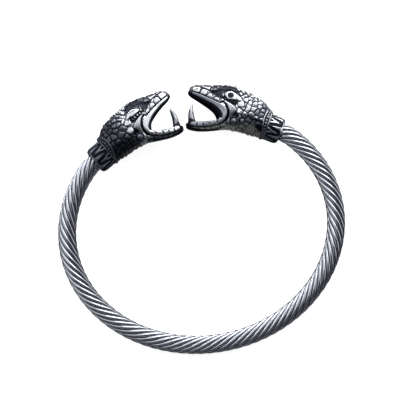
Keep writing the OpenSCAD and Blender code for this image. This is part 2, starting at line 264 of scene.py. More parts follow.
def wire_steel():
    """Bright drawn steel, with shade painted dark between the wires."""
    finish = Finish("wire_steel")
    proud = finish.mark("polish_and_painted_light")
    cloud = finish.noise(1.6)
    grain = finish.noise(0.12, detail=2)
    # The mark paints shade between the wires, and a faint cloud varies it
    unshaded = finish.ramp(proud + (cloud - 0.5) * 0.2, 0.45, 0.9)
    finish.surface(
        Base_Color=finish.blend(unshaded, GROOVE_SHADE, STEEL),
        Metallic=0.97,
        Roughness=0.4 - unshaded * 0.18 + (grain - 0.5) * 0.06,
        Normal=finish.bump(grain, 0.004, 0.4),
    )
    return finish.material


def cast_steel(name):
    """Oxidised cast steel: polished where it stands proud, black in recesses, with painted shade and
    highlights, and a diffuse grey underneath painted in place of the floor's reflection.
    """
    finish = Finish(name)
    polish_and_painted_light = finish.mark("polish_and_painted_light")
    floor_sheen = finish.mark("floor_sheen")
    cloud = finish.noise(1.1)
    grain = finish.noise(0.2, detail=4, rough=0.65)
    wear_and_painted_light = polish_and_painted_light + (cloud - 0.5) * 0.12 + (grain - 0.5) * 0.12
    mid_tone = finish.blend(finish.ramp(wear_and_painted_light, 0.08, 0.5), PATINA, GREY_STEEL)
    bright = finish.ramp(wear_and_painted_light, 0.42, 0.8)
    finish.surface(
        # Low on a head a diffuse grey, less metallic finish is painted in, standing in for the pale
        # floor's reflection
        Base_Color=finish.blend(floor_sheen, finish.blend(bright, mid_tone, BRIGHT_STEEL), FLOOR_SHEEN_GREY),
        Metallic=finish.ramp(wear_and_painted_light, 0.0, 0.6, 0.6, 0.97) * (1 - floor_sheen * 0.9),
        Roughness=0.46 - bright * 0.22 + (grain - 0.5) * 0.1,
        Normal=finish.bump(grain, 0.012, 0.5),
    )
    return finish.material


# ---------------- cable

def cable_route():
    """Centreline of the cable in even steps from the left socket to the right one."""
    turn = np.radians(np.linspace(-90, LEAVE_TURN, OVAL_POINTS))
    oval = np.stack([OVAL_W * np.cos(turn), OVAL_D * np.sin(turn)], -1)
    slope = np.radians(np.linspace(LEAVE_SLOPE, HEAD_ANGLE, BEND_POINTS))
    bend = oval[-1] + BEND_R * np.stack(
        [np.sin(slope) - np.sin(slope[0]), np.cos(slope) - np.cos(slope[0])], -1)
    way = np.array([-math.cos(slope[-1]), math.sin(slope[-1])])
    tail = bend[-1] + np.outer(np.linspace(0, TAIL, END_POINTS), way)
    half = np.concatenate([oval, bend[1:], tail[1:]])
    whole = np.concatenate([half[:0:-1] * (-1, 1), half])
    reach = np.concatenate([[0], np.cumsum(np.linalg.norm(np.diff(whole, axis=0), axis=1))])
    even = np.linspace(0, reach[-1], int(reach[-1] / WIRE_STEP) + 1)
    line = np.stack([np.interp(even, reach, whole[:, 0]), np.interp(even, reach, whole[:, 1])], -1)
    return np.pad(line, ((0, 0), (0, 1))), even


def directions(line):
    """Which way a line runs at each of its points."""
    steps = np.gradient(line, axis=0)
    return steps / np.linalg.norm(steps, axis=-1, keepdims=True)


def rod_points(line, radius, up, sides):
    """Rings of points round a line, and how far each faces along up, from -1 to 1."""
    across = np.cross(directions(line), up)
    turn = 2 * np.pi * np.arange(sides) / sides
    ring = (np.cos(turn)[None, :, None] * up[:, None, :]
            + np.sin(turn)[None, :, None] * across[:, None, :])
    points = (line[:, None, :] + radius * ring).reshape(-1, 3)
    return points, np.tile(np.cos(turn), len(line))


def cable_wires():
    """Ten outer wires laid left-handed round a core, with shade painted between them: the core is dark,
    and so is each wire's side that faces in.
    """
    route, reach = cable_route()
    way = directions(route)
    outward = np.stack([way[:, 1], -way[:, 0], np.zeros(len(route))], -1)
    up = np.array([0.0, 0.0, 1.0])
    rods = []
    for wire in range(WIRES):
        turn = 2 * np.pi * ((wire + 0.5) / WIRES + reach / LAY_LENGTH)
        proud = np.cos(turn)[:, None] * outward + np.sin(turn)[:, None] * up
        rod, facing = rod_points(route + (CABLE_R - WIRE_R) * proud, WIRE_R, proud, WIRE_SIDES)
        # Painted shade: each wire is painted darker the further round it turns from facing out, so its
        # sides and inner face are dark
        rods.append((rod, 0.5 + 0.5 * facing, WIRE_SIDES))
    core, _ = rod_points(route, CORE_R, outward, CORE_SIDES)
    # The core is painted dark, as the shade between the wires
    rods.append((core, np.zeros(len(core)), CORE_SIDES))
    faces, start = [], 0
    for rod, _, sides in rods:
        faces += [[start + k for k in face] for face in tube_faces(len(route), sides)]
        start += len(rod)
    points = np.concatenate([rod for rod, _, _ in rods])
    polish_and_painted_light = np.concatenate([polish_and_painted_light for _, polish_and_painted_light, _ in rods])
    piece = make_piece("cable_wires", laid_down(points), faces, wire_steel(), {"polish_and_painted_light": polish_and_painted_light})
    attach(piece, "root")
    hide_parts("cable_band")


# ---------------- collars

def cone_height(x, turn):
    """Radius of a collar's leafy cone and how polished it is, x from the cable's side."""
    share = x / (CONE_END - COLLAR_START)
    base = CONE_R - HEM_DROP * np.clip(1 - x / HEM_REACH, 0, 1) ** 2 + CONE_FLARE * share
    sector = 2 * np.pi / LEAVES
    off = np.abs(turn % sector - sector / 2) * base
    half = sector / 2 * base
    # A leaf is a dark bowl with a pale hem, between wedges that narrow towards the head
    hem = HEM_W + HEM_BOW * (off / half) ** 2 - x
    wedge = WEDGE_W * np.clip(1 - x / WEDGE_LEN, 0, 1) ** WEDGE_BOW + WEDGE_TIP - (half - off)
    # In its middle a vein swells from a point and forks in two
    vein_w = VEIN_TIP + VEIN_SWELL * past(x, 0.9, 1.5) - VEIN_THIN * past(x, 2.6, 1)
    vein = np.minimum(vein_w - np.abs(off - FORK_W * past(x, 2.2, 1.7)), x - VEIN_START)
    raised = eased(0.5 + np.maximum(np.maximum(hem, wedge), vein) / LEAF_EDGE)
    return base - LEAF_DEPTH + raised * LEAF_RISE, raised


def rim_reach(turn):
    """How wide the rim is: it bows forward over each flank of the neck."""
    rise = np.arctan2(np.sin(turn), np.abs(np.cos(turn)))
    return RIM_W + LOBE * eased(1 - np.abs(rise - LOBE_TURN) / LOBE_SPREAD)


def rim_height(x, turn):
    """Radius of the beaded rim and how polished it is, x from the cone's end."""
    reach = rim_reach(turn)
    top, belly, _, wide, _ = section(SKULL, station(x + CONE_END))
    tall = np.where(np.sin(turn) > 0, top, -belly) * CROWN
    neck = 1 / np.hypot(np.sin(turn) / tall, np.cos(turn) / (CHEEK * wide))
    base = np.maximum(RIM_R + RIM_FLARE * x, neck + 0.05)
    # A row of beads between two raised edges
    edges = np.maximum(1 - np.abs(x - 0.12) / 0.13, 1 - np.abs(x - reach + 0.2) / 0.2)
    row = 0.12 + (reach - 0.3) * 0.45
    pitch = 2 * np.pi / RIM_BEADS
    off = np.hypot(((turn + pitch / 2) % pitch - pitch / 2) * BEAD_RING_R, x - row) / BEAD_R
    raised = np.maximum(eased(edges * 1.5), dome(off ** 2))
    return base + raised * RIM_RISE, raised * RIM_SHINE


def sleeve_grid(first, last, rows):
    """Rows of values from first to last, and the turns of each row's points."""
    turns = 2 * np.pi * np.arange(COLLAR_SIDES) / COLLAR_SIDES
    return np.meshgrid(np.linspace(first, last, rows), turns, indexing="ij")


def ring_places(x, radius, turn):
    return np.stack([x, radius * np.sin(turn), radius * np.cos(turn)], -1)


def collar(side, name, shine):
    """A collar as one closed sleeve, with its bore."""
    x, turn = sleeve_grid(0, CONE_END - COLLAR_START, CONE_ROWS)
    radius, proud = cone_height(x, turn)
    radius = radius - START_ROUND * eased(1 - x / START_ROUND)
    cone = ring_places(x + COLLAR_START, radius, turn)
    share, turn = sleeve_grid(0, 1, RIM_ROWS)
    x = share * rim_reach(turn)
    radius, rim_proud = rim_height(x, turn)
    rim = ring_places(x + CONE_END, radius, turn)
    share, turn = sleeve_grid(1, 0, BORE_ROWS)
    x = COLLAR_START + share * (CONE_END + rim_reach(turn) - COLLAR_START)
    rings = np.concatenate([cone, rim, ring_places(x, BORE_R, turn)])
    quads = ring_quads(*rings.shape[:2], closed=True)
    polish_and_painted_light = np.concatenate([proud, rim_proud, np.full(x.shape, BORE_SHINE)]) * shine
    if side == RIGHT:
        quads = quads[:, ::-1]
        polish_and_painted_light = polish_and_painted_light * (1 - 0.5 * past(rings[..., 1], -0.3, -0.8))
    points = on_end((rings + (FORWARD[side], 0, 0)).reshape(-1, 3), side)
    piece = make_piece(name + "_leaves", laid_down(points), quads.tolist(), COLLAR_STEEL,
                       {"polish_and_painted_light": polish_and_painted_light.ravel()})
    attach(piece, "root")
    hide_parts(name)


# ---------------- head, in shares

def table(rows):
    """Numbers in rows, with a comma after each row but the last."""
    return np.array([row.split() for row in rows.split(",")], float)


# Shares: u along the head from its neck, v of the crown's height above the head's axis, w of
# half its width. Skull: u, top, belly, widest level, half width, squareness, scales on the
# flanks, scales on the crown. Jaw: the same without scales.
SKULL = table("""
    -.02 .62 -.57 0 .76 2 0 0,
    0 .65 -.58 0 .77 2 .4 .4,
    .05 .77 -.6 .02 .81 2 .9 .9,
    .12 .89 -.63 .04 .86 2.1 1 1,
    .22 .96 -.65 .04 .93 2.2 1 1,
    .32 .99 -.69 .02 .98 2.3 1 1,
    .42 1 -.72 0 1 2.4 .3 1,
    .49 1 -.66 0 .99 2.4 0 1,
    .55 .98 -.44 0 .95 2.4 0 1,
    .62 .93 -.22 .04 .88 2.3 0 .8,
    .7 .84 -.08 .1 .78 2.3 0 .3,
    .8 .71 0 .13 .7 2.3 0 0,
    .9 .59 .03 .15 .61 2.3 0 0,
    .96 .49 .06 .17 .5 2.2 0 0,
    1 .36 .12 .18 .34 2 0 0""")
JAW = table("""
    .28 -.22 -.62 -.42 .76 2.2,
    .36 -.26 -.71 -.46 .92 2.2,
    .43 -.32 -.8 -.52 .97 2.3,
    .5 -.47 -.93 -.68 .95 2.3,
    .58 -.67 -1.07 -.86 .88 2.3,
    .66 -.81 -1.2 -1 .78 2.3,
    .74 -.93 -1.3 -1.11 .68 2.2,
    .82 -1.04 -1.35 -1.19 .53 2.1,
    .86 -1.1 -1.33 -1.21 .38 2,
    .875 -1.16 -1.28 -1.22 .2 2""")
# The hollow of the mouth, in the jaw's columns
MOUTH = table("""
    .48 -.46 -.52 -.49 .5 3,
    .58 -.16 -.76 -.46 .62 3,
    .68 .03 -.95 -.46 .56 3,
    .78 .13 -1.1 -.48 .46 3,
    .84 .16 -1.18 -.51 .34 3,
    .92 .17 -1.18 -.5 .28 3,
    .96 .15 -1.1 -.48 .2 3""")
# Rolls: u, v, w and radius as a share of LIP_R
LIP = table("""
    .98 .12 .28 .8,
    .94 .09 .5 .9,
    .85 .06 .64 .95,
    .76 .005 .71 1,
    .665 -.08 .8 1.05,
    .595 -.18 .88 1.1,
    .54 -.34 .93 1.15,
    .515 -.49 .95 1.15,
    .53 -.64 .93 1.1,
    .575 -.76 .87 1,
    .66 -.9 .77 .95,
    .755 -1.03 .64 .9,
    .83 -1.13 .45 .8,
    .865 -1.18 .2 .7""")
BROW = table("""
    .4 .67 .77 .7,
    .48 .74 .71 .9,
    .56 .74 .66 1,
    .64 .65 .64 1,
    .71 .52 .65 .8,
    .76 .41 .66 .6""")
# Flat top of the lips: x, y, half width and z in millimetres, from the snout to the jaw's tip
LIP_FACE = table("""
    25.5 .78 .24 2.1,
    24.8 .74 .27 3,
    23 .65 .36 3.7,
    21 .47 .41 4.1,
    19 .13 .47 4.6,
    17.9 -.17 .54 4.85,
    17 -.45 .66 5,
    16.2 -.75 .76 5.15,
    15.6 -1.22 .74 5.25,
    15.25 -1.72 .62 5.3,
    15.03 -2.35 .48 5.35,
    14.97 -3.05 .4 5.35,
    15.3 -3.85 .44 5.3,
    16.1 -4.6 .5 5.05,
    17.2 -5.38 .52 4.8,
    18.5 -6.12 .52 4.45,
    19.6 -6.64 .5 4.05,
    20.8 -7.06 .46 3.6,
    22 -7.36 .4 2.9""")
# The lower fang, from its root in shares, and the nostril
FANG_ROOT = (0.815, -1.05, 0.34)
FANG_LEN, FANG_R, FANG_LEAN, FANG_BOW = 5.25, 0.8, math.radians(70), 0.09
FANG_TAPER, FANG_ROWS = 0.86, 9
NOSTRIL = (0.87, 0.40)


def column(table, u, c):
    """Smooth value of column c of a table at stations u."""
    x, y = table[:, 0], table[:, c]
    slope = np.empty(len(x))
    slope[1:-1] = (y[2:] - y[:-2]) / (x[2:] - x[:-2])
    slope[0] = (y[1] - y[0]) / (x[1] - x[0])
    slope[-1] = (y[-1] - y[-2]) / (x[-1] - x[-2])
    i = np.clip(np.searchsorted(x, u) - 1, 0, len(x) - 2)
    h = x[i + 1] - x[i]
    k = np.clip((u - x[i]) / h, 0, 1)
    return ((2 * k ** 3 - 3 * k ** 2 + 1) * y[i] + (k ** 3 - 2 * k ** 2 + k) * h * slope[i]
            + (3 * k ** 2 - 2 * k ** 3) * y[i + 1] + (k ** 3 - k ** 2) * h * slope[i + 1])


def section(table, u):
    """Top, belly, widest level, half width and squareness of a body at stations u."""
    return [column(table, u, c) for c in range(1, 6)]


def along(u):
    return HEAD_START + u * HEAD_LEN


def station(x):
    return (x - HEAD_START) / HEAD_LEN


def smooth_line(rows, pieces=5):
    """Rows of a roll, in millimetres, with more of them in between on a smooth line."""
    ends = np.vstack([2 * rows[0] - rows[1], rows, 2 * rows[-1] - rows[-2]])
    k = np.linspace(0, 1, pieces, endpoint=False)[:, None]
    spans = []
    for a, b, c, d in zip(ends, ends[1:], ends[2:], ends[3:]):
        spans.append(0.5 * (2 * b + (c - a) * k + (2 * a - 5 * b + 4 * c - d) * k ** 2
                            + (3 * b - a - 3 * c + d) * k ** 3))
    return np.vstack(spans + [rows[-1:]])


def roll_rows(table):
    u, v, w, share = table.T
    return np.stack([along(u), v * CROWN, w * CHEEK, share * LIP_R], -1)


# ---------------- carving

def melted(a, b, k):
    """The nearer of two surfaces, with a fillet of about k between them."""
    h = np.clip(0.5 + 0.5 * (b - a) / k, 0, 1)
    return b * (1 - h) + a * h - k * h * (1 - h)


def shared(a, b, k):
    """What surfaces a and b both hold, with the edge rounded by about k."""
    return -melted(-a, -b, k)


def carved(a, b, k):
    """Surface a without what is inside b, with the edge rounded by about k."""
    return shared(a, -b, k)


def roll(rows, x, y, z):
    """Distance to a round roll through rows of x, y, z and radius."""
    best = np.inf
    for a, b in zip(rows, rows[1:]):
        axis = b[:3] - a[:3]
        dx, dy, dz = x - a[0], y - a[1], z - a[2]
        k = np.clip((dx * axis[0] + dy * axis[1] + dz * axis[2]) / (axis @ axis), 0, 1)
        away = np.sqrt((dx - k * axis[0]) ** 2 + (dy - k * axis[1]) ** 2 + (dz - k * axis[2]) ** 2)
        best = np.minimum(best, away - (a[3] + k * (b[3] - a[3])))
    return best


def beside(a, b, x, y):
    """Which share of the line from a to b is nearest in profile, and how far away it is."""
    axis = b[:2] - a[:2]
    k = np.clip(((x - a[0]) * axis[0] + (y - a[1]) * axis[1]) / (axis @ axis), 0, 1)
    return k, np.hypot(x - a[0] - k * axis[0], y - a[1] - k * axis[1])


def flat_band(rows, x, y):
    """Distance in profile to a band through rows of x, y, half width and z, and its z there."""
    best, level, weight = np.inf, 0.0, 0.0
    for a, b in zip(rows, rows[1:]):
        k, away = beside(a, b, x, y)
        best = np.minimum(best, away - (a[2] + k * (b[2] - a[2])))
        # The nearest rows count most, which keeps the top even
        nearness = 1 / (away ** 2 + 0.1) ** 3
        level = level + nearness * (a[3] + k * (b[3] - a[3]))
        weight = weight + nearness
    return best, level / weight


class Casting:
    """One half of a head as a block of cells, each with its distance to the metal."""

    def __init__(self):
        self.x, self.y, self.z = (np.arange(low, high, CELL, dtype=np.float32) for low, high
                                  in zip(BLOCK_LOW + (CELL / 2,), BLOCK_HIGH))
        self.near = self.loft(SKULL, 0.3)

    def window(self, low, high):
        """Slices and places of the cells between two corners."""
        cut = [slice(int(np.searchsorted(s, a)), int(np.searchsorted(s, b)))
               for s, a, b in zip((self.x, self.y, self.z), low, high)]
        return tuple(cut), np.ix_(self.x[cut[0]], self.y[cut[1]], self.z[cut[2]])

    def whole(self):
        return np.ix_(self.x, self.y, self.z)

    def loft(self, table, cap):
        """Distance to a body whose sections are in a table, with ends rounded by the cap."""
        x, y, z = self.whole()
        top, belly, level, wide, square = section(table, station(x))
        level = CROWN * level
        tall = np.where(y >= level, CROWN * top - level, level - CROWN * belly)
        f = ((np.abs(y - level) / tall) ** square
             + (z / (CHEEK * wide)) ** square) ** (1 / square) - 1
        steep = np.sqrt(sum(g * g for g in np.gradient(f, CELL)))
        ends = np.maximum(along(table[0, 0]) - x, x - along(table[-1, 0]))
        return shared(f / np.maximum(steep, 0.08), ends, cap).astype(np.float32)

    def add_roll(self, rows, blend, how=melted):
        """Joins a roll through rows of x, y, z and radius, or has it carved out."""
        margin = rows[:, 3].max() + blend + 3 * CELL
        cut, places = self.window(rows[:, :3].min(0) - margin, rows[:, :3].max(0) + margin)
        self.near[cut] = how(self.near[cut], roll(rows, *places), blend)

    def add_band(self, rows, thick):
        """Joins a band with a flat top that faces out of the flank."""
        x, y, z = self.whole()
        reach, level = flat_band(rows, x[:, :, 0], y[:, :, 0])
        slab = np.abs(z - level[:, :, None] + thick / 2) - thick / 2
        self.near = melted(self.near, shared(slab, reach[:, :, None], 0.2), 0.12)


# ---------------- relief, drawn in profile

class Relief:
    """Heights carved into a head's flanks, in profile, and the tone of each place: its polish, with
    painted shade and highlights in places.
    """

    def __init__(self, x, y):
        self.x, self.y = x[:, None], y[None, :]
        self.height, self.cover = np.zeros((2, len(x), len(y)))
        self.tone = np.ones(self.height.shape)

    def off(self, px, py, across=1, up=1):
        """Distance to a point, counted so many times across and up."""
        return np.hypot((self.x - px) * across, (self.y - py) * up)

    def line(self, rows):
        """Distance to a line through rows of x, y and half width."""
        best = np.inf
        for a, b in zip(rows, rows[1:]):
            k, away = beside(a, b, self.x, self.y)
            best = np.minimum(best, away - (a[2] + k * (b[2] - a[2])))
        return best

    def area(self, corners):
        """Distance to a closed outline, negative inside it."""
        best = np.full(self.height.shape, np.inf)
        inside = np.zeros(best.shape, bool)
        for a, b in zip(corners, np.roll(corners, -1, 0)):
            best = np.minimum(best, beside(a, b, self.x, self.y)[1])
            if a[1] != b[1]:
                edge_x = a[0] + (self.y - a[1]) * (b[0] - a[0]) / (b[1] - a[1])
                inside ^= ((a[1] > self.y) != (b[1] > self.y)) & (self.x < edge_x)
        return np.where(inside, -best, best)

    def lay(self, share, tone, height=None):
        """Takes a share of a tone and of any height, and the rest of what was there."""
        self.tone = self.tone * (1 - share) + tone * share
        if height is not None:
            self.height = self.height * (1 - share) + height * share
            self.cover = np.maximum(self.cover, share)

    def stamp(self, distance, height, tone, edge=0.16):
        self.lay(within(distance, edge), tone, height)

    def inlay(self, distance, height, gap, bulge=0.0, depth=0.35):
        """A polished, raised form with a dark gap all round."""
        self.stamp(distance - gap, -depth, tone=0.0)
        self.stamp(distance, height + bulge * np.sqrt(np.clip(-distance / 0.6, 0, 1)), tone=1.0)

    def groove(self, rows, depth):
        self.stamp(self.line(rows), -depth, tone=0.0)

    def blot(self, corners, tone, soft=0.6):
        """Changes an area's tone and not its height; it paints shade."""
        self.lay(within(self.area(corners), soft), tone)

    def pebbles(self, corners, pitch, tone, seed):
        """Fills an area with small irregular grains."""
        dice = np.random.default_rng(seed)
        low, high = np.min(corners, 0) - 1, np.max(corners, 0) + 1
        spots = np.stack(np.meshgrid(np.arange(low[0], high[0], pitch),
                                     np.arange(low[1], high[1], pitch)), -1).reshape(-1, 2)
        spots = spots + dice.uniform(-0.33, 0.33, spots.shape) * pitch
        first = second = np.full(self.height.shape, 99.0)
        for spot in spots:
            gap = self.off(*spot)
            second = np.minimum(second, np.maximum(first, gap))
            first = np.minimum(first, gap)
        grain = eased((second - first) / (0.55 * pitch))
        self.lay(within(self.area(corners), 0.3), (0.4 + 0.6 * grain) * tone, grain * 0.06 - 0.08)


# Forms of a head's flank, in profile in millimetres: outlines of x, y, lines of x, y, half
# width, discs of x, y, radius and spots with their polish last
NECK_SHINE_X = (4.5, 8.8, 10.4, 12.0)
NECK_SHINE = {LEFT: (0.2, 0.27, 0.46, 0.9), RIGHT: (0.42, 0.72, 0.92, 1.0)}
EYE_FIELDS = {
    LEFT: table("""11.05 2, 11.5 2.6, 12.2 3, 12.7 3.35, 13.2 3.75, 13.9 4.05, 14.7 4.2, 15.4 4.1,
        16.1 3.7, 16.7 3.2, 17 2.85, 16.5 2.6, 15.9 2.5, 14.9 2.45, 14.1 2.5, 13.6 2.6, 13.2 2.35,
        12.95 2, 12.95 1.5, 12.7 1.1, 11.9 1.2, 11.25 1.55"""),
    RIGHT: table("""10.95 1.75, 11.2 2.4, 11.7 2.9, 12.2 3.35, 12.7 3.7, 13.3 3.88, 14.05 4.15,
        14.75 4.35, 15.5 4.42, 16.2 4.25, 16.75 3.8, 17.15 3.25, 16.85 2.75, 16.25 2.3, 15.65 1.95,
        15.15 2.15, 14.55 2.3, 14 2.4, 13.3 2.4, 12.95 2.1, 12.8 1.5, 12.4 1.15, 11.7 1.2"""),
}
EYE_LENS = (14.8, 3.2, 2.6, 1.3)
PUPIL = (15.45, 3.2, 0.84)
EYE_CORNER = table("12.6 2.4 .1, 13.1 2.5 .14, 13.65 2.7 .08")
UNDER_EYE = table("13.1 2.3, 15.1 2.4, 17.2 2.65, 17.4 1.9, 16.6 1.5, 14.9 1.3, 13.1 1")
EYE_BEADS = [(13.8, 1.85, 0.5), (14.5, 2.02, 0.95), (15.45, 1.98, 0.9), (16.3, 1.93, 0.95),
             (17.05, 2.35, 0.8)]
CRESCENT = table("""12.4 .1, 13.1 .58, 14.1 .98, 15.2 1.24, 16.3 1.42, 16.55 1.2, 16 .98, 15.3 .5,
    14.65 -.15, 14.15 -.9, 13.93 -1.6, 13.85 -2.4, 13.87 -3.2, 13.85 -4, 13.3 -4.15, 12.95 -3.9,
    13.25 -3.2, 13.2 -2.4, 13.15 -1.6, 13 -.9, 12.7 -.35""")
CRESCENT_SHADE = table("12 -.75, 15.2 -.75, 15.2 -4.6, 12 -4.6")
LIP_GROOVE = table("""17.2 .62 .2, 16.7 1 .2, 15.95 .72 .22, 15.15 .1 .25, 14.5 -.75 .28, 14.22 -1.6 .3,
    14.2 -2.5 .3, 14.3 -3.4 .28, 14.62 -4.15 .24""")
HOLLOW = table("11.5 -1, 12 -.55, 12.6 -.5, 12.95 -1.1, 13.1 -1.9, 12.6 -2.2, 11.6 -2.1")
HOLLOW_EDGE = table("11.1 -1.6 .06, 11.55 -.85 .08, 12.3 -.2 .07")
HINGE = (12.2, -2.9, 0.92)
LIP_PLATES = [
    table("23.35 1.28, 23.35 2.6, 23.7 2.84, 24.7 2.8, 25.2 2.3, 25.3 1.3"),
    table("21.42 1.24, 21.38 2.15, 21.75 2.6, 22.4 2.74, 22.95 2.5, 23.03 1.28"),
    table("19.58 1, 19.6 1.5, 19.9 2, 20.4 2.28, 20.95 2.05, 21.08 1.2"),
    table("17.75 .72, 17.78 1.35, 18.3 1.6, 18.9 1.7, 19.12 1.3, 19.1 .98"),
]
LIP_SEAM = table("""17.35 .42 .07, 18 .5 .07, 19 .72 .07, 20 .9 .07, 21 1 .07, 22 1.08 .06, 23 1.13 .06,
    25.4 1.14 .06""")
NOSE_SEAM = table("19.9 2.72 .15, 21.5 3 .17, 23.3 3.04 .15, 25.2 2.9 .12")
NOSE_GAPS = [
    table("20.85 2.95 .18, 20.85 3.6 .2, 20.75 4.8 .16"),
    table("23.2 2.95 .16, 23.2 3.4 .16, 23.1 4.1 .13"),
]
PIT = table("""17.35 2.9, 17.9 4.3, 19 4.9, 20.4 4.7, 20.5 3.2, 21.4 2.85, 21.2 2.5, 20.4 2.5,
    19.4 1.95, 17.9 1.75, 17.45 1.2, 17.1 1.4""")
BROW_FIELD = table("""12.6 3.9, 13.6 4.25, 14.6 4.4, 15.6 4.3, 16.5 3.75, 17.2 3, 18.2 4.2, 19 4.9,
    18.5 5.5, 16.5 6.1, 14.5 5.9, 13.5 5.1""")
CREST_CUTS = [
    table("10 6.1 .14, 10.8 4.9 .16, 11.9 3.85 .12"),
    table("11.3 6.4 .16, 11.9 5.3 .22, 12.7 4.2 .12"),
    table("12.9 6.4 .18, 13.3 5.5 .2, 14 4.9 .14"),
    table("14.2 6.5 .15, 14.8 5.6 .14"),
    table("15.6 6.5 .1, 16 5.8 .1"),
    table("16.8 6.3 .1, 17.2 5.6 .1"),
    table("18.1 5.9 .1, 18.6 5.1 .12"),
]
BROW_SPOTS = [(18.55, 4.75, 0.25, 0.8), (19.25, 4.5, 0.28, 0.65), (19.9, 3.75, 0.55, 0.5)]
MOUTH_EDGE = table("""25.8 .5, 24.8 .44, 23 .26, 21 .05, 19 -.35, 18 -.7, 17.2 -1.1, 16.6 -1.5,
    15.95 -2.05, 15.5 -2.65, 15.42 -3.3, 16.3 -3.4, 18 -2.6, 21 -1.5, 25.8 -1.1""")
SNOUT_SHADE = table("25.3 3.2, 27 3.2, 27 -1, 25.4 -1")
LOWER_JAW = table("""13.2 -4.5, 14.75 -4.3, 16 -5.25, 18 -6.5, 20.5 -7.5, 23.4 -7.8, 23.4 -10,
    12 -10""")
JAW_SHADE = table("""14.6 -4, 16.4 -3.7, 17.6 -4.4, 19.2 -5.3, 21.2 -6.1, 23.8 -6.6, 23.8 -8.2,
    15.5 -5.6""")
JAW_SEAMS = [
    table("""14.75 -4.35 .12, 16 -5.3 .13, 17 -5.98 .13, 18 -6.52 .13, 19.2 -7.1 .13, 20.5 -7.58 .12,
        22.4 -7.85 .1"""),
    table("""13.6 -4.7 .12, 15 -5.62 .13, 16 -6.3 .13, 17 -6.95 .13, 18.2 -7.55 .13, 19.5 -8.05 .12,
        21.5 -8.3 .1"""),
]
JAW_CUTS = [
    table("16.3 -4.3 .12, 15.92 -5.3 .15"),
    table("18 -5.4 .12, 17.62 -6.3 .15"),
    table("19.38 -6.2 .12, 19.02 -7.05 .15"),
    table("20.88 -6.75 .1, 20.6 -7.5 .13"),
    table("15.3 -4.95 .11, 14.7 -5.5 .11"),
    table("17.3 -6.2 .12, 16.7 -6.75 .12"),
    table("18.6 -6.9 .12, 18.1 -7.5 .12"),
    table("20.1 -7.5 .12, 19.7 -8.05 .12"),
]
# Only on the right: a smooth throat, a dark blot over it with a fold round its top, and creases
THROAT_PATCH = table("""4.2 -3, 5.2 -2.75, 5.95 -3.05, 6.1 -2.4, 6.6 -1.7, 7.25 -1.25, 7.9 -1.7,
    8.35 -2.5, 8.6 -3.9, 8.6 -5.5, 4.2 -5.5""")
NECK_BLOT = table("4.2 -1.3, 4.9 -1.1, 5.8 -1.15, 6.4 -1.55, 6.3 -2.1, 5.6 -2.5, 4.2 -2.6")
NECK_FOLD = table("4.3 -1.05 .1, 5.2 -.85 .12, 6.1 -.95 .12, 6.7 -1.5 .08")
NECK_CREASES = [
    table("4.2 -.35 .2, 5.8 -.3 .25, 7.2 -.3 .3, 8.6 -.7 .2"),
    table("6 -2.6 .12, 5.8 -3.2 .1, 6.1 -3.8 .06"),
    table("7.9 -1.5 .12, 8.4 -2.5 .12, 8.7 -4.2 .1"),
]


def carve_brow(relief):
    """The dark, grainy brow, the pit before the eye and the seams of crest and nose."""
    relief.pebbles(BROW_FIELD, 0.6, 0.24, 3)
    relief.pebbles(PIT, 0.65, 0.2, 5)
    for px, py, size, tone in BROW_SPOTS:
        relief.stamp(relief.off(px, py, up=1.3) - size, 0.1, edge=0.3, tone=tone)
    for groove in CREST_CUTS + [NOSE_SEAM] + NOSE_GAPS:
        relief.groove(groove, 0.3)


def carve_eye(relief, side):
    """Beads in a dark band under the eye, and the eye, a long lens that runs out into the cheek."""
    relief.stamp(relief.area(UNDER_EYE), -0.3, tone=0.0)
    for px, py, tone in EYE_BEADS:
        relief.stamp(relief.off(px, py, across=1.9) - 0.34, 0.12,
                     tone=tone if side == LEFT else 0.35)
    lid = relief.area(EYE_FIELDS[side])
    relief.inlay(lid, 0.16, 0.16)
    mx, my, across, up = EYE_LENS
    lens = dome(((relief.x - mx) / across) ** 2 + ((relief.y - my) / up) ** 2)
    relief.height += within(lid, 0.3) * (0.22 * lens)
    relief.groove(EYE_CORNER, 0.25)
    if side == RIGHT:
        relief.stamp(relief.off(*PUPIL[:2]) - PUPIL[2], 0.25, tone=0.06)


def carve_cheek(relief, side):
    """The hollow and crescent behind the mouth, the lips' plates and the jaw's hinge."""
    relief.stamp(relief.area(HOLLOW), -0.5, edge=0.3, tone=0.0)
    relief.stamp(relief.line(HOLLOW_EDGE), 0.12, tone=0.5)
    relief.groove(LIP_GROOVE, 0.55)
    relief.inlay(relief.area(CRESCENT), 0.28, 0.16)
    if side == RIGHT:
        relief.blot(CRESCENT_SHADE, 0.5)
    for plate in LIP_PLATES:
        relief.inlay(relief.area(plate), 0.2, 0.13, bulge=0.08, depth=0.3)
    # The hinge is a ball in a ring, with a raised spot on top that is painted light as a highlight
    px, py, ball = HINGE
    hinge = relief.off(px, py)
    relief.stamp(np.abs(hinge - 1.2) - 0.12, 0.12, tone=0.5)
    relief.stamp(hinge - 1.05, -0.3, tone=0.0)
    relief.stamp(hinge - ball, 0.1 + 0.5 * dome((hinge / ball) ** 2), tone=0.28)
    # A painted highlight: a small bump painted lighter than the ball
    relief.stamp(np.hypot(relief.x - px - 0.1, relief.y - py - 0.5) - 0.2, 0.42, edge=0.3, tone=0.55)


